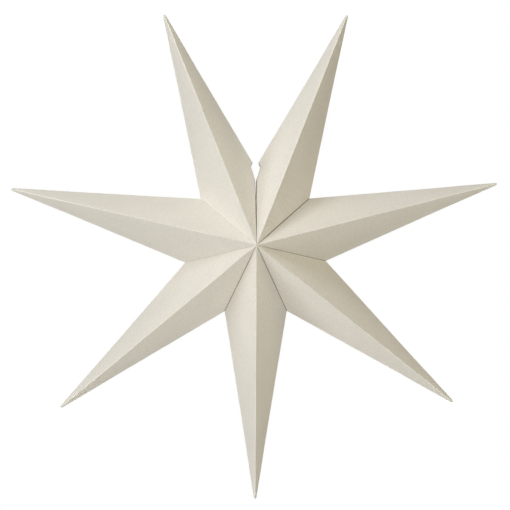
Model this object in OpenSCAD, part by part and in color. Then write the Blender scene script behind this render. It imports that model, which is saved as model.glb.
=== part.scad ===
// Paper star lampshade: seven arms of folded paper, glued side by side like the leaves of a fan.
// Each arm is one sheet: four long panels, a flap glued under its back ridge, and flaps along
// both sides that are glued face to face to the flaps of the arms beside it.
// The first and the last arm meet at the mouth, at the top. They aren't glued, so that the lamp
// can be put in. Two pairs of fastening dots close them, and a round punch lets the cord out.

/* [Star] */
// Number of arms
arm_count = 7; // [5:1:9]
// Distance across the star, twice the reach of a tip
star_d = 700; // [560:10:900]
// Distance from the front peak to the back peak
star_depth = 220; // [180:2:260]
// Distance of a glued valley from the centre
valley_r = 101; // [90:1:120]
// Length trimmed off each sharp tip
tip_trim = 7; // [4:0.5:12]
// Length of each tip that is pressed solid
tip_solid = 6; // [3:0.5:12]
// Most that an arm is pushed round, away from the mouth, in degrees
arm_push = 1.7; // [0:0.1:3]
// Most that an arm is turned counter-clockwise, in degrees
arm_turn = 1.0; // [0:0.05:2]
// Distance that the tips hang below their even places
tip_sag = 2.7; // [0:0.1:4]

/* [Paper] */
// Thickness of the paper
paper_t = 0.4; // [0.3:0.05:0.8]
// Width of the flaps glued between two arms
seam_flap_w = 10; // [7:0.5:14]
// Distance from a peak at which the seam flaps begin
seam_flap_start = 3; // [2:0.5:10]
// Width of the dart that parts the front flap from the back flap at a valley
seam_dart = 1.2; // [0.6:0.1:4]
// Width of the flap glued under the back ridge of an arm
ridge_flap_w = 12; // [8:0.5:16]
// Length of the back ridge that has no flap, at each end
ridge_flap_start = 30; // [20:1:50]
// Diameter of the pinhole left at a peak, where all the arms meet
pinhole_d = 1.2; // [0.8:0.1:4]

/* [Mouth] */
// Angle between the ridges of the first and the last arm before they sag, in degrees
mouth_angle = 42.9; // [38:0.1:48]
// Angle of the slit left between the first and the last arm, in degrees
mouth_slit = 1.2; // [0.8:0.1:3]
// Distance of the mouth's corner from the centre, before the cord hole is punched
mouth_r = 112; // [102:1:122]
// Radius of the punch for the cord hole
cord_hole_r = 23; // [20:0.5:26]
// Distance of the punch's centre beyond the mouth's corner, along the side creases
cord_hole_shift = 18; // [14:0.5:19]

/* [Fastening dots] */
// Diameter of a dot
dot_d = 7; // [5:0.5:9]
// Distance of a dot's centre from the peak, along the seam
dot_along = 88; // [60:1:95]
// Gap between a hook dot and its loop dot at their closest
dot_gap = 0.1; // [0.02:0.01:0.2]

/* [Hidden] */
$fn = 96;
half_depth = star_depth / 2;
tip_r = star_d / 2;
// Spare length by which a cut passes through what it cuts
over = 5;

paper_colour = "#DED8C8";
dot_colour = "#F2F0EA";

// Direction of an arm round the star, seen from the front. Arm 0 is left of the mouth,
// and the arms go round counter-clockwise to the last one, right of the mouth.
function bow(i) = sin(360 * i / (arm_count - 1));
function even(i) = 90 + mouth_angle / 2 + i * (360 - mouth_angle) / (arm_count - 1);
function unsagged(i) = even(i) + arm_push * bow(i) + arm_turn * bow(i) ^ 2;

// What the sag leaves of an arm's reach, and how far it moves the tip across the arm
function tip_ahead(i) = tip_r - tip_sag * sin(unsagged(i));
function tip_aside(i) = -tip_sag * cos(unsagged(i));
function direction(i) = unsagged(i) + atan2(tip_aside(i), tip_ahead(i));
function reach(i) = norm([tip_ahead(i), tip_aside(i)]);

// An arm is drawn with its ridges over +X and the front of the star up. Its sides are +1,
// towards the next arm, and -1. A seam is where an arm ends on a side, and it has the
// star's axis, the peaks and a corner in its plane.
function at_mouth(i, side) = side < 0 ? i == 0 : i == arm_count - 1;
function seam_angle(i, side) =
    at_mouth(i, side)
        ? abs(direction(i) - (side < 0 ? 90 : 450)) - mouth_slit / 2
        : abs(direction(i + side) - direction(i)) / 2;
function seam_r(i, side) = at_mouth(i, side) ? mouth_r : valley_r;
function seam_length(i, side) = norm([seam_r(i, side), half_depth]);

function corner(i, side) =
    let (a = side * seam_angle(i, side))
        seam_r(i, side) * [cos(a), sin(a), 0];
function peak(face) = [0, 0, face * half_depth];
function sharp_tip(i) = [reach(i) + tip_trim, 0, 0];

// Planes are written as [unit normal that points outwards, distance from the origin]
function unit(v) = v / norm(v);
function plane_through(a, b, c) =
    let (n = unit(cross(b - a, c - a)))
        n * a < 0 ? [-n, -n * a] : [n, n * a];
function common_point(p, q, r) =
    (p[1] * cross(q[0], r[0]) + q[1] * cross(r[0], p[0]) + r[1] * cross(p[0], q[0]))
        / (p[0] * cross(q[0], r[0]));

// Outer face of one of an arm's four panels: face +1 is the front and -1 the back
function panel(i, side, face) = plane_through(peak(face), corner(i, side), sharp_tip(i));

// Pyramid between the four panels of an arm, at a depth below their outer faces
module pyramid(i, depth) {
    root = [[1, 0, 0], -over];
    sides = [
        for (q = [[1, 1], [-1, 1], [-1, -1], [1, -1]])
            panel(i, q[0], q[1]) - [[0, 0, 0], depth]
    ];
    corners = [for (k = [0 : 3]) common_point(root, sides[k], sides[(k + 1) % 4])];
    apex = common_point(sides[0], sides[1], sides[2]);
    polyhedron(
        points = concat(corners, [apex]),
        faces = [[0, 1, 2, 3], [1, 0, 4], [2, 1, 4], [3, 2, 4], [0, 3, 4]]
    );
}

// Room between an arm's two seams, out to its blunt tip
module sector(i) {
    linear_extrude(star_depth + 2 * over, center = true)
        polygon([
            [0, 0],
            reach(i) * [1, -tan(seam_angle(i, -1))],
            reach(i) * [1, tan(seam_angle(i, 1))]
        ]);
}

// Turns what is drawn in a seam's plane, as distance from the star's axis and height,
// into a slab of the given thickness inside the arm, which also passes out of it by spare
module in_seam(i, side, thickness, spare) {
    rotate([0, 0, side * seam_angle(i, side)])
        translate([0, side > 0 ? spare : thickness, 0])
            rotate([90, 0, 0])
                linear_extrude(thickness + spare)
                    children();
}

// Point in a seam's plane, from its distances along the folded edge and inwards from it
function seam_point(i, side, along, inwards) =
    let (
        slope = unit([seam_r(i, side), -half_depth]),
        inward_way = [slope[1], -slope[0]]
    )
        [0, half_depth] + along * slope + inwards * inward_way;

// Length of the folded edge that the cord hole takes from the mouth's corner
function punched_length(i, side) =
    let (
        edge = unit(peak(1) - corner(i, side)),
        crease = unit(corner(i, side) - sharp_tip(i)),
        lean = edge * crease
    )
        cord_hole_shift * lean + sqrt(cord_hole_r ^ 2 - cord_hole_shift ^ 2 * (1 - lean ^ 2));

// Where a seam flap ends: at the dart on a glued seam, and short of the cord hole at the mouth
function flap_end(i, side, inwards) =
    let (length = seam_length(i, side))
        at_mouth(i, side)
            ? length - punched_length(i, side) - inwards
            : length - (inwards * seam_r(i, side) + seam_dart / 2 * length) / half_depth;

module seam_flap(i, side, face) {
    w = seam_flap_w;
    outline = [
        seam_point(i, side, seam_flap_start, 0),
        seam_point(i, side, seam_flap_start + w, w),
        seam_point(i, side, flap_end(i, side, w), w),
        seam_point(i, side, flap_end(i, side, 0), 0)
    ];
    in_seam(i, side, paper_t, over)
        polygon([for (p = outline) [p[0], face * p[1]]]);
}

// The glued flap of the back ridge: a second layer under the panel on side -1
module ridge_flap(i) {
    start = peak(-1);
    length = norm(sharp_tip(i) - start);
    ridge = unit(sharp_tip(i) - start);
    normal = panel(i, -1, -1)[0];
    across = cross(normal, ridge);
    w = ridge_flap_w;
    multmatrix([for (k = [0 : 2]) [ridge[k], across[k], normal[k], start[k]]])
        translate([0, 0, -2 * paper_t])
            linear_extrude(2 * paper_t + over)
                polygon([
                    [ridge_flap_start, -over],
                    [ridge_flap_start, 0],
                    [ridge_flap_start + w, w],
                    [length - ridge_flap_start - w, w],
                    [length - ridge_flap_start, 0],
                    [length - ridge_flap_start, -over]
                ]);
}

// The punch goes square through the front and the back panel beside the mouth,
// about one centre on the line of their common crease, and each cut ends at that crease
module cord_punch(i, side) {
    crease = unit(corner(i, side) - sharp_tip(i));
    centre = corner(i, side) + cord_hole_shift * crease;
    normal = panel(i, side, 1)[0];
    across = cross(normal, crease);
    for (face = [0, 1])
        mirror([0, 0, face])
            intersection() {
                multmatrix([for (k = [0 : 2]) [crease[k], across[k], normal[k], centre[k]]])
                    cylinder(r = cord_hole_r, h = over, center = true);
                translate([0, -tip_r, 0])
                    cube([star_d, star_d, star_depth]);
            }
}

module arm(i) {
    color(paper_colour)
        rotate([90, 0, 0])
            rotate([0, 0, direction(i)])
                difference() {
                    intersection() {
                        sector(i);
                        pyramid(i, 0);
                    }
                    difference() {
                        intersection() {
                            pyramid(i, paper_t);
                            translate([-over, -tip_r, -star_depth])
                                cube([reach(i) - tip_solid + over, 2 * tip_r, 2 * star_depth]);
                        }
                        for (side = [-1, 1], face = [-1, 1]) seam_flap(i, side, face);
                        ridge_flap(i);
                    }
                    for (side = [-1, 1]) if (at_mouth(i, side)) cord_punch(i, side);
                    cylinder(d = pinhole_d, h = star_depth + 2 * over, center = true);
                }
}

// A fastening dot on the mouth's flap of an arm, in the middle of the flap's width.
// Its thickness fills its half of the slit at the edge of the dot nearest the star's axis.
module fastening_dot(i, side, face) {
    centre = seam_point(i, side, dot_along, seam_flap_w / 2);
    thickness = (centre[0] - dot_d / 2) * tan(mouth_slit / 2) - dot_gap / 2;
    color(dot_colour)
        rotate([90, 0, 0])
            rotate([0, 0, direction(i)])
                in_seam(i, side, 0, thickness)
                    translate([centre[0], face * centre[1]])
                        circle(d = dot_d);
}

last = arm_count - 1;
for (i = [0 : last])
    arm(i);
fastening_dot(0, -1, 1);  // hook_dot_front
fastening_dot(last, 1, 1);  // loop_dot_front
fastening_dot(0, -1, -1);  // hook_dot_back
fastening_dot(last, 1, -1);  // loop_dot_back
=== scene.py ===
"""Paper star lampshade: the looks of its seven folded arms and of the dots that fasten its mouth.

Each arm is modelled as the sheet of paper that it is: four panels, the folds between them, the
flaps of its two seams and the flap glued under its back ridge. The sheet is then given its
thickness. The finish is a matt paper with a linen weave pressed into it.
"""

import logging
import math
from dataclasses import dataclass
from enum import Enum

import bmesh
import bpy
from mathutils import Matrix, Vector


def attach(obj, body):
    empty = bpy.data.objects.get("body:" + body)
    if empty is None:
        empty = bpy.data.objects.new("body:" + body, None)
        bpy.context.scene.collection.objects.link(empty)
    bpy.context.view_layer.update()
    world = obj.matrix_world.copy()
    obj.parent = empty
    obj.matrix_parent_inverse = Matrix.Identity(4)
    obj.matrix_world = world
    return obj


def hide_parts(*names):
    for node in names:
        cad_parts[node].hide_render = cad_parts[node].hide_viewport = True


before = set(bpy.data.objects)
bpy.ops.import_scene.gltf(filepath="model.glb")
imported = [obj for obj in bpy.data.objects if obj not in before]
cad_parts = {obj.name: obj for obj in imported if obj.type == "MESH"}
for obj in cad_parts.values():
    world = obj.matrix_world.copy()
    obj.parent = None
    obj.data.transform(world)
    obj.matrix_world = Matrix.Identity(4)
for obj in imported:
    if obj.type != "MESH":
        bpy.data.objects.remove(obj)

log = logging.getLogger("paper_star")

MM = 0.001


class Side(Enum):
    """The two sides of an arm, seen from the front of the star with the arm's tip up."""

    NEXT = 1
    LAST = -1


class Face(Enum):
    """The two faces of the star. The front one points along -Y."""

    FRONT = 1
    BACK = -1


@dataclass(frozen=True)
class StarSizes:
    """The sizes of the star, in metres and degrees, as the fixed frame has them."""

    arm_count: int = 7
    tip_reach: float = 350 * MM
    half_depth: float = 110 * MM
    valley_reach: float = 101 * MM
    tip_trim: float = 7 * MM
    arm_push: float = 1.7
    arm_turn: float = 1.0
    tip_sag: float = 2.7 * MM
    paper: float = 0.4 * MM
    seam_flap: float = 10 * MM
    seam_dart: float = 1.2 * MM
    ridge_flap: float = 12 * MM
    ridge_flap_start: float = 30 * MM
    # A hair wider than the frame's 0.6, so that the peaks stay inside the frame's box
    pinhole: float = 0.62 * MM
    mouth_angle: float = 42.9
    mouth_slit: float = 1.2
    mouth_reach: float = 112 * MM
    cord_hole: float = 23 * MM
    cord_hole_shift: float = 18 * MM
    dot_radius: float = 3.5 * MM
    dot_along: float = 88 * MM
    dot_gap: float = 0.1 * MM

    def direction(self, arm: int) -> float:
        """Direction of an arm round the star in degrees, counter-clockwise from +X.

        Args:
            arm: number of the arm, 0 left of the mouth.

        Returns:
            The direction of the arm's tip, sag and all.
        """
        place = self._unsagged(arm)
        return place + math.degrees(math.atan2(*self._tip(arm)[::-1]))

    def reach(self, arm: int) -> float:
        """Distance from the star's centre to the blunt tip of an arm.

        Args:
            arm: number of the arm.

        Returns:
            The distance in metres.
        """
        return math.hypot(*self._tip(arm))

    def _unsagged(self, arm: int) -> float:
        """Direction of an arm before the tips sag.

        Args:
            arm: number of the arm.

        Returns:
            The direction in degrees, counter-clockwise from +X.
        """
        bow = math.sin(math.radians(360 * arm / (self.arm_count - 1)))
        even = 90 + self.mouth_angle / 2 + arm * (360 - self.mouth_angle) / (self.arm_count - 1)
        return even + self.arm_push * bow + self.arm_turn * bow**2

    def _tip(self, arm: int) -> tuple[float, float]:
        """Where the sag takes a tip.

        Args:
            arm: number of the arm.

        Returns:
            The tip's distance along the arm's unsagged direction, and across it.
        """
        angle = math.radians(self._unsagged(arm))
        return self.tip_reach - self.tip_sag * math.sin(angle), -self.tip_sag * math.cos(angle)

    def at_mouth(self, arm: int, side: Side) -> bool:
        """Whether a side of an arm faces the mouth.

        Args:
            arm: number of the arm.
            side: one of its sides.

        Returns:
            True for the last side of arm 0 and the next side of the last arm.
        """
        return arm == (0 if side is Side.LAST else self.arm_count - 1)

    def seam_angle(self, arm: int, side: Side) -> float:
        """Angle between an arm's ridges and the seam on a side of it.

        Args:
            arm: number of the arm.
            side: the side that the seam is on.

        Returns:
            The angle in radians, never negative.
        """
        if self.at_mouth(arm, side):
            mouth = 90 if side is Side.LAST else 450
            return math.radians(abs(self.direction(arm) - mouth) - self.mouth_slit / 2)
        return math.radians(abs(self.direction(arm + side.value) - self.direction(arm)) / 2)

    def seam_reach(self, arm: int, side: Side) -> float:
        """Distance from the star's centre to the corner in which a seam ends.

        Args:
            arm: number of the arm.
            side: the side that the seam is on.

        Returns:
            The distance in metres.
        """
        return self.mouth_reach if self.at_mouth(arm, side) else self.valley_reach

    def to_star(self, arm: int) -> Matrix:
        """Turns an arm's own frame, ridges over +X and front face up, into the star's frame.

        Args:
            arm: number of the arm.

        Returns:
            The turn, as a matrix.
        """
        angle = math.radians(self.direction(arm))
        return Matrix.Rotation(math.pi / 2, 4, "X") @ Matrix.Rotation(angle, 4, "Z")


def srgb(code: str) -> tuple[float, float, float, float]:
    """Turns an sRGB hex colour into the linear colour that a shader takes.

    Args:
        code: the colour, such as "#DED8C8".

    Returns:
        Linear red, green, blue and an alpha of 1.
    """
    parts = [int(code[k : k + 2], 16) / 255 for k in (1, 3, 5)]
    line = [p / 12.92 if p <= 0.04045 else ((p + 0.055) / 1.055) ** 2.4 for p in parts]
    return (*line, 1.0)


def add_node(tree: bpy.types.NodeTree, kind: str, links: dict | None = None, **settings) -> bpy.types.Node:
    """Adds a node, sets its properties and its sockets, and links what feeds it.

    Args:
        tree: the node tree.
        kind: the node's type, such as "ShaderNodeMath".
        links: socket name or number to the output socket that feeds it, or to a plain value.
        settings: properties of the node.

    Returns:
        The new node.
    """
    node = tree.nodes.new(kind)
    for name, value in settings.items():
        setattr(node, name, value)
    for key, value in (links or {}).items():
        if isinstance(value, bpy.types.NodeSocket):
            tree.links.new(value, node.inputs[key])
        else:
            node.inputs[key].default_value = value
    return node


@dataclass(frozen=True)
class LinenPaper:
    """Uncoated card of about 300 g, rolled with a linen pattern and then cut, creased and folded.

    It is matt, with no gloss even at a glance along it. The pressed threads catch the light as
    fine ribs, helped by painted shade and highlight, and the folds are drawn with a paler line.
    """

    name: str = "linen_paper"
    colour: str = "#E3DFD5"
    # Paler colour drawn along every fold
    crease_colour: str = "#F7F4EA"
    # Stands in for the deep shadow in the groove of a seam, which is too fine to be modelled
    seam_shadow_colour: str = "#76664A"
    roughness: float = 0.92
    # The photograph's ribs are 2 to 2.5 pixels apart, about 3 mm. Real linen embossing is taken
    # to be finer than a pixel, so the threads are drawn as coarse as the ribs show.
    thread_pitch: float = 3.2 * MM
    thread_height: float = 0.05 * MM
    # The paper takes up damp unevenly and dries in soft clouds a few centimetres wide
    cloud_size: float = 45 * MM
    # Single threads are a little thicker or thinner, which mottles the sheet
    fibre_size: float = 4.0 * MM
    crease_half_width: float = 1.3 * MM
    crease_strength: float = 0.95

    def build(self) -> bpy.types.Material:
        """Builds the material. The weave follows the sheet through its UV map, in metres.

        Returns:
            The new material.
        """
        material = bpy.data.materials.new(self.name)
        material.use_nodes = True
        tree = material.node_tree
        tree.nodes.clear()
        flat = add_node(tree, "ShaderNodeUVMap", uv_map="flat_sheet").outputs["UV"]
        along, across = self._threads(tree, flat)
        weave = add_node(tree, "ShaderNodeMath", {0: along, 1: across}, operation="ADD").outputs[0]
        colour = self._colour(tree, flat, weave)
        bump = add_node(
            tree,
            "ShaderNodeBump",
            {"Strength": 1.0, "Distance": self.thread_height, "Height": weave},
        ).outputs["Normal"]
        shader = add_node(
            tree,
            "ShaderNodeBsdfPrincipled",
            {"Base Color": colour, "Roughness": self.roughness, "Specular IOR Level": 0.25, "Normal": bump},
        )
        add_node(tree, "ShaderNodeOutputMaterial", {"Surface": shader.outputs["BSDF"]})
        return material

    def _threads(self, tree: bpy.types.NodeTree, flat: bpy.types.NodeSocket) -> list[bpy.types.NodeSocket]:
        """Adds the two sets of threads, along the sheet and across it.

        Args:
            tree: the material's node tree.
            flat: the place on the sheet laid flat, in metres.

        Returns:
            The height of each set, from 0 to its strength and a little uneven.
        """
        wander = add_node(
            tree, "ShaderNodeTexNoise", {"Vector": flat, "Scale": 1 / (8 * self.thread_pitch), "Detail": 2.0}
        ).outputs["Fac"]
        split = add_node(tree, "ShaderNodeSeparateXYZ", {0: flat})
        waves = []
        for axis, strength in (("X", 1.0), ("Y", 0.45)):
            turn = add_node(
                tree,
                "ShaderNodeMath",
                {0: split.outputs[axis], 1: 2 * math.pi / self.thread_pitch, 2: 0.0},
                operation="MULTIPLY_ADD",
            )
            shift = add_node(tree, "ShaderNodeMath", {0: wander, 1: 6.0}, operation="MULTIPLY").outputs[0]
            tree.links.new(shift, turn.inputs[2])
            wave = add_node(tree, "ShaderNodeMath", {0: turn.outputs[0]}, operation="SINE").outputs[0]
            unit = add_node(
                tree, "ShaderNodeMath", {0: wave, 1: strength / 2, 2: strength / 2}, operation="MULTIPLY_ADD"
            ).outputs[0]
            waves.append(unit)
        return waves

    def _colour(
        self, tree: bpy.types.NodeTree, flat: bpy.types.NodeSocket, weave: bpy.types.NodeSocket
    ) -> bpy.types.NodeSocket:
        """Adds the colour: the paper, its clouds, its threads with painted shade and highlight, the paler
        folds and the painted seam shadow.

        Args:
            tree: the material's node tree.
            flat: the place on the sheet laid flat, in metres.
            weave: the height of the threads.

        Returns:
            The colour.
        """
        clouds = add_node(
            tree, "ShaderNodeTexNoise", {"Vector": flat, "Scale": 1 / self.cloud_size, "Detail": 3.0}
        ).outputs["Fac"]
        cloudy = add_node(
            tree,
            "ShaderNodeMapRange",
            {"Value": clouds, "From Min": 0.25, "From Max": 0.75, "To Min": 0.975, "To Max": 1.015},
        ).outputs[0]
        # Painted shade and highlight of the pressed threads: the colour is darker in the hollows between them
        # and paler on their tops, following the same height as the bump
        thread_shading = add_node(
            tree,
            "ShaderNodeMapRange",
            {"Value": weave, "From Min": 0.0, "From Max": 1.6, "To Min": 0.925, "To Max": 1.05},
        ).outputs[0]
        fibres = add_node(
            tree, "ShaderNodeTexNoise", {"Vector": flat, "Scale": 1 / self.fibre_size, "Detail": 2.0}
        ).outputs["Fac"]
        mottled = add_node(
            tree,
            "ShaderNodeMapRange",
            {"Value": fibres, "From Min": 0.3, "From Max": 0.7, "To Min": 0.955, "To Max": 1.035},
        ).outputs[0]
        rough = add_node(tree, "ShaderNodeMath", {0: cloudy, 1: mottled}, operation="MULTIPLY").outputs[0]
        both = add_node(tree, "ShaderNodeMath", {0: rough, 1: thread_shading}, operation="MULTIPLY").outputs[0]
        # Paler towards every fold, within crease_half_width of it
        fold = add_node(tree, "ShaderNodeAttribute", attribute_name="fold_distance").outputs["Fac"]
        crease = add_node(
            tree,
            "ShaderNodeMapRange",
            {
                "Value": fold,
                "From Min": 0.0,
                "From Max": self.crease_half_width,
                "To Min": self.crease_strength,
                "To Max": 0.0,
            },
            interpolation_type="SMOOTHSTEP",
        ).outputs[0]
        pale_folded = add_node(
            tree,
            "ShaderNodeMix",
            {"Factor": crease, 6: srgb(self.colour), 7: srgb(self.crease_colour)},
            data_type="RGBA",
        ).outputs[2]
        # Painted shadow in the groove of each seam
        shade = add_node(tree, "ShaderNodeAttribute", attribute_name="seam_shade").outputs["Fac"]
        seam_shadowed = add_node(
            tree,
            "ShaderNodeMix",
            {"Factor": shade, 6: pale_folded, 7: srgb(self.seam_shadow_colour)},
            data_type="RGBA",
        ).outputs[2]
        return add_node(tree, "ShaderNodeVectorMath", {0: seam_shadowed, 1: both}, operation="MULTIPLY").outputs[0]


@dataclass(frozen=True)
class FasteningTape:
    """Woven nylon hook or loop tape, punched into dots with a glued back: matt and slightly fuzzy."""

    name: str
    colour: str
    shade: str
    roughness: float
    # The filaments stand about 0.35 mm apart in the woven ground
    filament_pitch: float = 0.35 * MM

    def build(self) -> bpy.types.Material:
        """Builds the material on the object's own coordinates.

        Returns:
            The new material.
        """
        material = bpy.data.materials.new(self.name)
        material.use_nodes = True
        tree = material.node_tree
        tree.nodes.clear()
        place = add_node(tree, "ShaderNodeTexCoord").outputs["Object"]
        cells = add_node(
            tree, "ShaderNodeTexVoronoi", {"Vector": place, "Scale": 1 / self.filament_pitch}
        ).outputs["Distance"]
        colour = add_node(
            tree,
            "ShaderNodeMix",
            {"Factor": cells, 6: srgb(self.colour), 7: srgb(self.shade)},
            data_type="RGBA",
        ).outputs[2]
        bump = add_node(
            tree, "ShaderNodeBump", {"Strength": 0.6, "Distance": 0.1 * MM, "Height": cells}
        ).outputs["Normal"]
        shader = add_node(
            tree,
            "ShaderNodeBsdfPrincipled",
            {"Base Color": colour, "Roughness": self.roughness, "Normal": bump},
        )
        add_node(tree, "ShaderNodeOutputMaterial", {"Surface": shader.outputs["BSDF"]})
        return material


def smoothstep(low: float, high: float, value: float) -> float:
    """Rises smoothly from 0 at low to 1 at high.

    Args:
        low: where the rise starts.
        high: where it ends.
        value: where it is asked for.

    Returns:
        A number from 0 to 1.
    """
    t = min(max((value - low) / (high - low), 0.0), 1.0)
    return t * t * (3 - 2 * t)


def finish_piece(
    name: str, mesh: bmesh.types.BMesh, material: bpy.types.Material, smooth: bool
) -> bpy.types.Object:
    """Turns a bmesh into a piece of the scene, at the origin, and frees the bmesh.

    Args:
        name: name of the piece.
        mesh: the bmesh, in the star's frame.
        material: the finish.
        smooth: whether its faces are shaded smooth.

    Returns:
        The new object.
    """
    data = bpy.data.meshes.new(name)
    mesh.to_mesh(data)
    mesh.free()
    data.polygons.foreach_set("use_smooth", [smooth] * len(data.polygons))
    data.materials.append(material)
    piece = bpy.data.objects.new(name, data)
    bpy.context.scene.collection.objects.link(piece)
    return piece


@dataclass
class Panel:
    """One of an arm's four panels: a flat triangle from the seam's folded edge to the tip."""

    sizes: StarSizes
    arm: int
    side: Side
    face: Face

    def __post_init__(self) -> None:
        """Works out the panel's corners and directions in the arm's own frame."""
        s = self.sizes
        angle = self.side.value * s.seam_angle(self.arm, self.side)
        self.radial = Vector((math.cos(angle), math.sin(angle), 0))
        self.peak = Vector((0, 0, self.face.value * s.half_depth))
        self.corner = self.radial * s.seam_reach(self.arm, self.side)
        reach = s.reach(self.arm)
        self.sharp = Vector((reach + s.tip_trim, 0, 0))
        self.ridge_end = self.peak.lerp(self.sharp, reach / self.sharp.x)
        self.crease_end = self.corner.lerp(
            self.sharp, (reach - self.corner.x) / (self.sharp.x - self.corner.x)
        )
        normal = (self.corner - self.peak).cross(self.sharp - self.peak).normalized()
        self.normal = normal if normal.z * self.face.value > 0 else -normal
        self.ridge = (self.sharp - self.peak).normalized()
        self.across = self.normal.cross(self.ridge)
        if self.across.y * self.side.value < 0:
            self.across = -self.across
        self.edge = (self.corner - self.peak).normalized()
        self.edge_length = (self.corner - self.peak).length
        self.punch = self.corner + (self.corner - self.sharp).normalized() * s.cord_hole_shift
        self.punched = s.at_mouth(self.arm, self.side)
        self.ridge_bend = self._bend(self.across, Vector((1, -1, 1)))
        crease = (self.sharp - self.corner).normalized()
        inner = (self.peak - self.corner) - crease * (self.peak - self.corner).dot(crease)
        self.crease_bend = self._bend(inner.normalized(), Vector((1, 1, -1)))
        # In the seam's plane, square to the folded edge and into the arm
        self.inward = Vector((self.edge.z * self.radial.x, self.edge.z * self.radial.y, 0))
        self.inward.z = -self.edge.dot(self.radial)
        if self.inward.z * self.face.value > 0:
            self.inward = -self.inward
        # In the panel, square to the folded edge and towards the tip
        self.into = (self.ridge - self.edge * self.ridge.dot(self.edge)).normalized()
        half = self.into.angle(self.inward) / 2
        self.seam_bend = (self.into + self.inward).normalized() * ((1 - math.sin(half)) / math.cos(half))

    @staticmethod
    def _bend(into: Vector, mirror: Vector) -> Vector:
        """How far a rounded fold stays inside its sharp line, for a bend that starts 1 from it.

        Args:
            into: unit vector in the panel, square to the fold and away from it.
            mirror: signs that turn it into the same vector in the panel across the fold.

        Returns:
            The way from the sharp line to the middle of the bend.
        """
        middle = (into + into * mirror).normalized()
        half = into.angle(middle)
        return middle * ((1 - math.sin(half)) / math.cos(half))

    def punched_length(self) -> float:
        """Length of the folded edge that the cord hole takes from the corner.

        Returns:
            The length in metres.
        """
        lean = (-self.edge).dot((self.corner - self.sharp).normalized())
        s = self.sizes
        return s.cord_hole_shift * lean + math.sqrt(s.cord_hole**2 - s.cord_hole_shift**2 * (1 - lean**2))

    def flap_end(self, inwards: float) -> float:
        """Where the seam's flap ends.

        Args:
            inwards: distance from the folded edge, across the flap.

        Returns:
            The distance from the peak, along the folded edge.
        """
        s = self.sizes
        if self.punched:
            return self.edge_length - self.punched_length() - inwards
        drop = inwards * s.seam_reach(self.arm, self.side) + s.seam_dart / 2 * self.edge_length
        return self.edge_length - drop / s.half_depth

    def edge_point(self, share: float) -> Vector:
        """Point of the folded edge, or of the punched hole's rim where the hole takes the edge.

        Args:
            share: share of the edge, from 0 at the peak to 1 at the corner.

        Returns:
            The point in the arm's own frame.
        """
        point = self.peak.lerp(self.corner, share)
        if point.x < self.sizes.pinhole:
            point = self.peak + self.ridge * (self.sizes.pinhole / self.ridge.x)
        if not self.punched:
            return point
        way = (self.ridge_end.lerp(self.crease_end, share) - point).normalized()
        offset = point - self.punch
        behind = offset.dot(way)
        inside = self.sizes.cord_hole**2 - offset.length_squared
        if inside <= 0:
            return point
        return point + way * (-behind + math.sqrt(behind**2 + inside))

    def point(self, share: float, along: float) -> Vector:
        """Point of the flat panel.

        Args:
            share: share of the way from the ridge to the crease.
            along: share of the way from the folded edge to the tip.

        Returns:
            The point in the arm's own frame.
        """
        return self.edge_point(share).lerp(self.ridge_end.lerp(self.crease_end, share), along)

    def width(self, along: float) -> float:
        """Width of the panel from ridge to crease.

        Args:
            along: share of the way from the folded edge to the tip.

        Returns:
            The width in metres.
        """
        return (self.point(0, along) - self.point(1, along)).length

    def flat(self, point: Vector) -> Vector:
        """Place of a point on the sheet laid flat.

        Args:
            point: a point of the panel, in the arm's own frame.

        Returns:
            Its place along the front ridge and across it, in metres.
        """
        offset = point - self.peak
        here = Vector((offset.dot(self.ridge), offset.dot(self.across)))
        if self.face is Face.FRONT:
            return Vector((here.x, here.y * self.side.value))
        start, end = (
            Vector(((p - self.peak).dot(self.ridge), (p - self.peak).dot(self.across)))
            for p in (self.corner, self.sharp)
        )
        crease = (end - start).normalized()
        square = (here - start) - crease * (here - start).dot(crease)
        mirrored = here - 2 * square
        return Vector((mirrored.x, mirrored.y * self.side.value))


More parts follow.
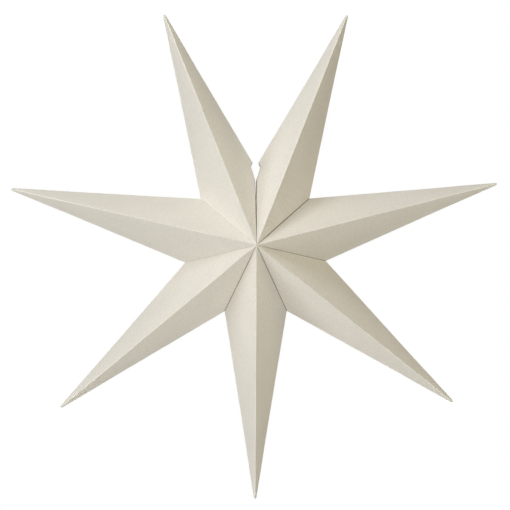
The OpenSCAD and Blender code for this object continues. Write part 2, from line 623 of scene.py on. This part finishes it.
@dataclass
class FoldedArm:
    """One arm of the star: a creased and folded sheet with its flaps."""

    sizes: StarSizes
    arm: int
    fold_width: float = 0.8 * MM
    # Width of the fold along each seam, from seam 1-2 round to seam 6-7, and along the mouth,
    # fitted to the lines that the photograph shows there
    seam_widths: tuple[float, ...] = tuple(
        width * MM for width in (0.3, 0.35, 0.7, 0.75, 0.6, 0.75, 0.35)
    )
    # How much of the painted seam shadow each seam takes, in the same order and fitted the same way
    seam_shadow_strengths: tuple[float, ...] = (0.1, 0.14, 0.6, 0.65, 0.5, 0.7, 0.4)
    # How far the panels stand out from flat, as a share of their width
    puff: float = 0.008
    # Share of a panel's length over which it rises to that from the seam
    puff_rise: float = 0.3
    # Widest that a fold can be, as a share of its panel's width, with its rows still in order
    fold_share: float = 0.055
    # The back ridge's flap lies this many paper thicknesses under the panel beside it
    flap_depth: float = 1.1
    # The paper can't close as sharply near the tip, where its layers lie on each other
    tip_fullness: float = 0.45 * MM
    nose: float = 3 * MM
    rows: int = 46
    # A row this many fold widths from a fold keeps its bend out of the panel's shading
    clear_of_bend: float = 1.6
    shares: tuple[float, ...] = (0.1, 0.22, 0.36, 0.5, 0.64, 0.78, 0.9)

    def __post_init__(self) -> None:
        """Makes the four panels."""
        self.panels = {
            (side, face): Panel(self.sizes, self.arm, side, face) for side in Side for face in Face
        }

    def _stations(self) -> list[tuple[Panel, float, float]]:
        """Rows of the sheet across the arm, from the back ridge round to the back ridge again.

        Returns:
            For each row its panel, its share of the panel from ridge to crease, and its distance
            from the fold beside it in fold widths, or a negative number far from one.
        """
        order = [
            (Side.NEXT, Face.BACK),
            (Side.NEXT, Face.FRONT),
            (Side.LAST, Face.FRONT),
            (Side.LAST, Face.BACK),
        ]
        stations = []
        for count, key in enumerate(order):
            panel = self.panels[key]
            outwards = [(0.0, steps) for steps in (0.0, 0.5, 1.0, self.clear_of_bend)]
            middle = [(share, -1.0) for share in self._shares(panel)]
            crease = [(1.0, steps) for steps in (self.clear_of_bend, 1.0, 0.5, 0.0)]
            rows = outwards + middle + crease
            if count % 2:
                rows = rows[::-1][1:]
            elif count:
                rows = rows[1:]
            stations += [(panel, share, steps) for share, steps in rows]
        return stations

    def _shares(self, panel: Panel) -> list[float]:
        """The rows of a panel away from its folds, with one at the end of a flap of the mouth.

        Args:
            panel: the panel.

        Returns:
            Shares of the way from the ridge to the crease, in order.
        """
        if not panel.punched:
            return list(self.shares)
        end = panel.flap_end(0) / panel.edge_length
        return sorted([share for share in self.shares if abs(share - end) > 0.04] + [end])

    def _columns(self) -> list[float]:
        """Places of the columns along a panel, closer together at both ends.

        Returns:
            Shares of the way from the folded edge to the tip, in order.
        """
        return [0.5 - 0.5 * math.cos(math.pi * (k / self.rows) ** 0.9) for k in range(1, self.rows + 1)]

    def build(self, material: bpy.types.Material) -> bpy.types.Object:
        """Builds the sheet, folds its flaps in and gives it its thickness.

        Args:
            material: the paper.

        Returns:
            The finished arm.
        """
        stations = self._stations()
        columns = self._columns()
        bm = bmesh.new()
        flat = bm.verts.layers.float_vector.new("flat_place")
        fold = bm.verts.layers.float.new("fold_distance")
        shade = bm.verts.layers.float.new("seam_shade")
        across, along = len(stations) - 1, len(columns) + 2
        bmesh.ops.create_grid(bm, x_segments=along, y_segments=across, size=1)
        grid: dict[tuple[int, int], bmesh.types.BMVert] = {}
        for vert in bm.verts:
            column = round((vert.co.x + 1) / 2 * along)
            row = round((vert.co.y + 1) / 2 * across)
            grid[column, row] = vert
            self._place(vert, flat, fold, shade, stations[row], column, columns)
        for column in range(3, along + 1):
            grid[column, 0].co.z += self.flap_depth * self.sizes.paper
        self._face_outwards(bm)
        self._fold_seam_flaps(bm, grid, stations, flat, fold)
        self._fold_ridge_flap(bm, grid, along, flat, fold)
        nose = bmesh.ops.contextual_create(bm, geom=[grid[along, row] for row in range(across + 1)])["faces"]
        bm.normal_update()
        bmesh.ops.reverse_faces(bm, faces=[face for face in nose if face.normal.x < 0])
        bmesh.ops.remove_doubles(bm, verts=bm.verts, dist=0.01 * MM)
        uv = bm.loops.layers.uv.new("flat_sheet")
        for face in bm.faces:
            for loop in face.loops:
                loop[uv].uv = loop.vert[flat].xy
        bmesh.ops.transform(bm, matrix=self.sizes.to_star(self.arm), verts=bm.verts)
        piece = finish_piece(f"folded_arm_{self.arm + 1}", bm, material, smooth=True)
        wall = piece.modifiers.new("paper thickness", "SOLIDIFY")
        wall.thickness = self.sizes.paper
        wall.offset = -1
        return piece

    def _place(
        self,
        vert: bmesh.types.BMVert,
        flat: bmesh.types.BMLayerItem,
        fold: bmesh.types.BMLayerItem,
        shade: bmesh.types.BMLayerItem,
        station: tuple[Panel, float, float],
        column: int,
        columns: list[float],
    ) -> None:
        """Moves a vertex of the grid to its place on the folded sheet.

        Args:
            vert: the vertex.
            flat: the layer for its place on the sheet laid flat.
            fold: the layer for its distance from the nearest fold.
            shade: the layer for how much of the painted seam shadow it takes.
            station: the row that it is in.
            column: its column: 0 to 2 go round the fold of the seam, the others to the tip.
            columns: places of the columns from 3 on.
        """
        panel, share, steps = station
        s = self.sizes
        along = columns[column - 3] if column > 2 else 0.0
        width = panel.width(along)
        pull = Vector((0, 0, 0))
        distance = min(share, 1 - share) * width
        if steps >= 0:
            bend = min(self.fold_width, self.fold_share * width)
            distance = steps * bend
            at_ridge = share < 0.5
            share = distance / width if at_ridge else 1 - distance / width
            pull = (panel.ridge_bend if at_ridge else panel.crease_bend) * (bend * max(1 - steps, 0) ** 2)
        edge = panel.edge_point(share)
        seam = self.arm if panel.side is Side.NEXT else self.arm - 1
        bend = min(self.seam_widths[seam], 0.3 * (edge - panel.peak).cross(panel.ridge).length)
        if column == 2:
            point = edge + panel.into * bend
        elif column == 1:
            point = edge + panel.seam_bend * bend
        elif column == 0:
            point = edge + panel.inward * bend
            if share == 1:
                point = edge - panel.radial * bend
        else:
            point = panel.point(share, max(along, 1.3 * bend / (s.tip_reach - s.valley_reach)))
        vert[flat] = (*panel.flat(point), 0)
        vert[fold] = distance
        # Painted seam shadow on the columns round the seam's fold, fading out towards the peak
        vert[shade] = self.seam_shadow_strengths[seam] * smoothstep(0, 0.2, share) if column < 3 else 0.0
        swell = self.puff * width * math.sin(math.pi * share) * smoothstep(0, self.puff_rise, along)
        vert.co = self._fill_tip(point + pull + panel.normal * swell)

    def _fill_tip(self, point: Vector) -> Vector:
        """Makes an arm fuller towards its tip, and closes its nose.

        Args:
            point: a point of the sheet, in the arm's own frame.

        Returns:
            Where the point comes to lie.
        """
        reach = self.sizes.reach(self.arm)
        radius = math.hypot(point.y, point.z)
        if radius < 0.01 * MM:
            return point
        full = self.tip_fullness * smoothstep(0.72, 0.9, point.x / reach)
        start = reach - self.nose
        closing = 1.0
        if point.x > start:
            closing = math.sqrt(max(1 - ((point.x - start) / self.nose) ** 2 * 0.85, 0))
        scale = (radius + full) / radius * closing
        return Vector((min(point.x, reach - 0.03 * MM), point.y * scale, point.z * scale))

    def _fold_seam_flaps(
        self,
        bm: bmesh.types.BMesh,
        grid: dict[tuple[int, int], bmesh.types.BMVert],
        stations: list[tuple[Panel, float, float]],
        flat: bmesh.types.BMLayerItem,
        fold: bmesh.types.BMLayerItem,
    ) -> None:
        """Extrudes the seam's flaps from the sheet's edge and turns them into the seam's plane.

        Args:
            bm: the sheet.
            grid: its vertices by column and row.
            stations: its rows.
            flat: the layer for a vertex's place on the sheet laid flat.
            fold: the layer for its distance from the nearest fold.
        """
        s = self.sizes
        for key, panel in self.panels.items():
            start, end = self.clear_of_bend * self.fold_width, panel.flap_end(0)
            rows = [
                row for row, (other, share, steps) in enumerate(stations)
                if other is panel and (
                    (steps < 0 and share * panel.edge_length <= end * 1.001)
                    or (steps == self.clear_of_bend and not (share == 1 and panel.punched))
                )
            ]
            edges = []
            for low, high in zip(rows, rows[1:]):
                edges.append(bm.edges.get((grid[0, low], grid[0, high])))
            made = bmesh.ops.extrude_edge_only(bm, edges=[e for e in edges if e])
            for vert in (v for v in made["geom"] if isinstance(v, bmesh.types.BMVert)):
                inset = (vert.co - panel.peak).dot(panel.inward)
                reach = (vert.co - panel.peak).dot(panel.edge)
                share = (reach - start) / (end - start)
                target = (start + s.seam_flap) * (1 - share) + panel.flap_end(s.seam_flap) * share
                vert.co += panel.edge * (target - reach) + panel.inward * (s.seam_flap - inset)
                vert[flat] = vert[flat] + Vector((target - reach, s.seam_flap, 0))
                vert[fold] = s.seam_flap

    def _fold_ridge_flap(
        self,
        bm: bmesh.types.BMesh,
        grid: dict[tuple[int, int], bmesh.types.BMVert],
        last: int,
        flat: bmesh.types.BMLayerItem,
        fold: bmesh.types.BMLayerItem,
    ) -> None:
        """Extrudes the flap of the back ridge and lays it under the panel on the other side.

        Args:
            bm: the sheet.
            grid: its vertices by column and row.
            last: number of the last column.
            flat: the layer for a vertex's place on the sheet laid flat.
            fold: the layer for its distance from the nearest fold.
        """
        s = self.sizes
        under = self.panels[Side.LAST, Face.BACK]
        start, end = s.ridge_flap_start, (under.sharp - under.peak).length - s.ridge_flap_start
        columns = [
            c for c in range(3, last + 1)
            if start <= (grid[c, 0].co - under.peak).dot(under.ridge) <= end
        ]
        edges = [bm.edges.get((grid[low, 0], grid[high, 0])) for low, high in zip(columns, columns[1:])]
        made = bmesh.ops.extrude_edge_only(bm, edges=edges)
        for vert in (v for v in made["geom"] if isinstance(v, bmesh.types.BMVert)):
            reach = (vert.co - under.peak).dot(under.ridge)
            share = (reach - start) / (end - start)
            target = (start + s.ridge_flap) * (1 - share) + (end - s.ridge_flap) * share
            width = min(s.ridge_flap, under.width(share) * 0.8)
            place = under.peak + under.ridge * target + under.across * width
            vert.co = place - under.normal * s.paper * self.flap_depth
            vert[flat] = vert[flat] + Vector((0, s.ridge_flap, 0))
            vert[fold] = s.ridge_flap

    def _face_outwards(self, bm: bmesh.types.BMesh) -> None:
        """Turns every face over if the front panel's faces point into the arm.

        Args:
            bm: the sheet.
        """
        panel = self.panels[Side.NEXT, Face.FRONT]
        middle = panel.point(0.5, 0.5)
        nearest = min(bm.faces, key=lambda f: (f.calc_center_median() - middle).length)
        nearest.normal_update()
        if nearest.normal.dot(panel.normal) < 0:
            bmesh.ops.reverse_faces(bm, faces=bm.faces)


class DotKind(Enum):
    """The two halves of a fastening dot."""

    HOOK = "hook"
    LOOP = "loop"


@dataclass
class FasteningDot:
    """A round dot of hook or loop tape, glued to a flap of the mouth."""

    sizes: StarSizes
    kind: DotKind
    face: Face
    rim: float = 0.1 * MM
    pile_pitch: float = 0.75 * MM
    pile_radius: float = 0.11 * MM

    @property
    def node(self) -> str:
        """Name of the fixed frame's node that the dot stands for."""
        return f"{self.kind.value}_dot_{self.face.name.lower()}"

    def build(self, material: bpy.types.Material) -> bpy.types.Object:
        """Builds the woven ground and the stems that stand on it.

        Args:
            material: the tape.

        Returns:
            The finished dot.
        """
        s = self.sizes
        arm, side = (0, Side.LAST) if self.kind is DotKind.HOOK else (s.arm_count - 1, Side.NEXT)
        panel = Panel(s, arm, side, self.face)
        centre = panel.peak + panel.edge * s.dot_along + panel.inward * s.seam_flap / 2
        out = Vector((-panel.radial.y, panel.radial.x, 0)) * side.value
        thick = (centre.xy.length - s.dot_radius) * math.tan(math.radians(s.mouth_slit / 2)) - s.dot_gap / 2
        ground = thick * 0.45
        bm = bmesh.new()
        bmesh.ops.create_cone(
            bm,
            segments=40,
            radius1=s.dot_radius,
            radius2=s.dot_radius - self.rim,
            depth=ground,
            cap_ends=True,
            matrix=Matrix.Translation((0, 0, ground / 2)),
        )
        reach = int(s.dot_radius / self.pile_pitch)
        for row in range(-reach, reach + 1):
            for place in range(-reach, reach + 1):
                x = (place + 0.5 * (row % 2)) * self.pile_pitch
                y = row * self.pile_pitch
                if math.hypot(x, y) > s.dot_radius - 3 * self.pile_radius:
                    continue
                self._stem(bm, x, y, ground, thick)
        turn = out.to_track_quat("Z", "Y").to_matrix().to_4x4()
        place = s.to_star(arm) @ Matrix.Translation(centre) @ turn
        bmesh.ops.transform(bm, matrix=place, verts=bm.verts)
        return finish_piece(f"{self.node}_pile", bm, material, smooth=False)

    def _stem(self, bm: bmesh.types.BMesh, x: float, y: float, low: float, high: float) -> None:
        """Adds one hook, a stem with a wider head, or one loop, a stem with a narrower one.

        Args:
            bm: the dot.
            x: place of the stem across the dot.
            y: place of the stem along it.
            low: height of its foot.
            high: height of its head.
        """
        head = 1.6 if self.kind is DotKind.HOOK else 0.7
        bmesh.ops.create_cone(
            bm, segments=6, radius1=self.pile_radius, radius2=self.pile_radius * head, depth=high - low,
            cap_ends=True, matrix=Matrix.Translation((x, y, (low + high) / 2)),
        )


@dataclass
class Studio:
    """A plain pale room: soft light, most of it from the front left, and a pale floor far below."""

    distance: float = 1.8
    picture: int = 510
    scale: float = 0.7159 / MM
    azimuth: float = -0.902
    elevation: float = -0.301
    roll: float = 0.07
    aim: tuple[float, float, float] = (-0.5 * MM, 0.0, -12.5 * MM)
    floor_drop: float = 1.6
    floor_size: float = 3.0
    # The camera sees the floor glow a little. Below the star the glow is weak, for its shadow's sake,
    # and beyond glow_start it rises to white.
    glow_below_star: float = 0.3
    glow_start: float = 0.4

    def camera(self) -> None:
        """Sets the camera square to the star's front, a little left of it and below."""
        data = bpy.data.cameras.new("camera")
        data.sensor_width = 36.0
        seen = self.picture / self.scale
        data.lens = data.sensor_width * self.distance / seen
        camera = bpy.data.objects.new("camera", data)
        az, el = math.radians(self.azimuth), math.radians(self.elevation)
        back = Vector((math.sin(az) * math.cos(el), -math.cos(az) * math.cos(el), math.sin(el)))
        turn = (-back).to_track_quat("-Z", "Y").to_matrix() @ Matrix.Rotation(math.radians(self.roll), 3, "Z")
        camera.matrix_world = Matrix.Translation(Vector(self.aim) + back * self.distance) @ turn.to_4x4()
        bpy.context.scene.collection.objects.link(camera)
        bpy.context.scene.camera = camera

    def _seen(self, tree: bpy.types.NodeTree) -> bpy.types.NodeSocket:
        """Adds a value of 1 for what the camera sees, also by way of a gloss or through glass.

        Args:
            tree: the node tree.

        Returns:
            The value, 0 for all other rays.
        """
        path = add_node(tree, "ShaderNodeLightPath")
        seen = path.outputs["Is Camera Ray"]
        for name in ("Is Glossy Ray", "Is Transmission Ray"):
            both = add_node(tree, "ShaderNodeMath", {0: seen, 1: path.outputs[name]}, operation="MAXIMUM")
            seen = both.outputs[0]
        return seen

    def world(self) -> None:
        """Lights the star softly from all round, and shows as white behind it."""
        world = bpy.data.worlds.new("white studio")
        bpy.context.scene.world = world
        world.use_nodes = True
        tree = world.node_tree
        tree.nodes.clear()
        seen = self._seen(tree)
        room = add_node(tree, "ShaderNodeBackground", {"Color": srgb("#FFF0C5"), "Strength": 0.02})
        ground = add_node(tree, "ShaderNodeBackground", {"Color": (1, 1, 1, 1), "Strength": 1.0})
        mix = add_node(
            tree, "ShaderNodeMixShader", {0: seen, 1: room.outputs[0], 2: ground.outputs[0]}
        )
        add_node(tree, "ShaderNodeOutputWorld", {"Surface": mix.outputs[0]})

    def lamp(
        self, name: str, place: tuple[float, float, float], width: float, power: float, colour: str
    ) -> None:
        """Adds a square soft box that shines at the star's centre.

        Args:
            name: name of the lamp.
            place: where it stands, in metres.
            width: width of the soft box, in metres.
            power: its power in watts.
            colour: its colour.
        """
        data = bpy.data.lights.new(name, "AREA")
        data.shape = "SQUARE"
        data.size = width
        data.energy = power
        data.color = srgb(colour)[:3]
        lamp = bpy.data.objects.new(name, data)
        spot = Vector(place)
        lamp.matrix_world = Matrix.Translation(spot) @ (-spot).to_track_quat("-Z", "Y").to_matrix().to_4x4()
        lamp.visible_camera = False
        bpy.context.scene.collection.objects.link(lamp)

    def floor(self) -> None:
        """Adds the plain pale floor, below the picture's lower edge.

        It keeps the star's shadow, and shows whiter away from its middle, to end without an edge.
        """
        bm = bmesh.new()
        bmesh.ops.create_grid(bm, x_segments=1, y_segments=1, size=self.floor_size / 2)
        bmesh.ops.translate(bm, vec=(0, 0, -self.floor_drop), verts=bm.verts)
        material = bpy.data.materials.new("pale_floor")
        material.use_nodes = True
        tree = material.node_tree
        tree.nodes.clear()
        pale = add_node(tree, "ShaderNodeBsdfDiffuse", {"Color": srgb("#F4F3F0"), "Roughness": 0.9})
        place = add_node(tree, "ShaderNodeTexCoord").outputs["Object"]
        level = add_node(tree, "ShaderNodeVectorMath", {0: place, 1: (1, 1, 0)}, operation="MULTIPLY")
        away = add_node(
            tree, "ShaderNodeVectorMath", {0: level.outputs[0]}, operation="LENGTH"
        ).outputs["Value"]
        glow = add_node(
            tree,
            "ShaderNodeMapRange",
            {
                "Value": away,
                "From Min": self.glow_start,
                "From Max": 0.47 * self.floor_size,
                "To Min": self.glow_below_star,
                "To Max": 1.0,
            },
        ).outputs[0]
        strength = add_node(
            tree, "ShaderNodeMath", {0: glow, 1: self._seen(tree)}, operation="MULTIPLY"
        ).outputs[0]
        white = add_node(tree, "ShaderNodeEmission", {"Color": (1, 1, 1, 1), "Strength": strength})
        both = add_node(tree, "ShaderNodeAddShader", {0: pale.outputs[0], 1: white.outputs[0]})
        add_node(tree, "ShaderNodeOutputMaterial", {"Surface": both.outputs[0]})
        floor = finish_piece("floor", bm, material, smooth=False)

    def build(self) -> None:
        """Builds the whole room. The lamps' places and powers are fitted to the photograph's panels."""
        self.camera()
        self.world()
        self.lamp("front", (0.0, -2.6, 0.0), 1.2, 33.2, "#FFFFFF")
        self.lamp("key", (-1.0, -1.67, 1.72), 1.2, 24.5, "#FFFFFF")
        self.lamp("left", (-2.0, -1.67, 0.0), 1.2, 24.2, "#FFFFFF")
        self.lamp("low", (0.0, -2.0, -1.4), 1.2, 5.5, "#FFFFFF")
        self.lamp("top", (0.0, -0.67, 2.51), 1.2, 8.0, "#FFFFFF")
        self.lamp("warm right", (2.51, -0.67, 0.0), 1.2, 8.8, "#FFF0C5")
        self.lamp("warm upper right", (1.72, -1.67, 1.0), 1.2, 6.8, "#FFF0C5")
        self.lamp("back", (-0.3, 2.5, 0.5), 1.2, 52.0, "#FFFFFF")
        self.floor()


def main() -> None:
    """Builds the room and every piece of the star, in order, and reports each one."""
    logging.basicConfig(level=logging.INFO, format="%(name)s: %(message)s")
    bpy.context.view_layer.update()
    sizes = StarSizes()
    bpy.context.scene.view_settings.view_transform = "Standard"
    Studio().build()
    paper = LinenPaper().build()
    for number in range(sizes.arm_count):
        arm = FoldedArm(sizes, number)
        piece = arm.build(paper)
        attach(piece, "root")
        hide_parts(f"arm_{number + 1}")
        log.info("%s: %d faces", piece.name, len(piece.data.polygons))
    tapes = {
        DotKind.HOOK: FasteningTape("hook_tape", "#EDEBE4", "#C9C6BC", 0.5),
        DotKind.LOOP: FasteningTape("loop_tape", "#F2F0EA", "#D6D3CA", 0.95),
    }
    for kind, tape in tapes.items():
        material = tape.build()
        for face in Face:
            dot = FasteningDot(sizes, kind, face)
            piece = dot.build(material)
            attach(piece, "root")
            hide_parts(dot.node)
            log.info("%s: %d faces", piece.name, len(piece.data.polygons))


if __name__ == "__main__":
    main()
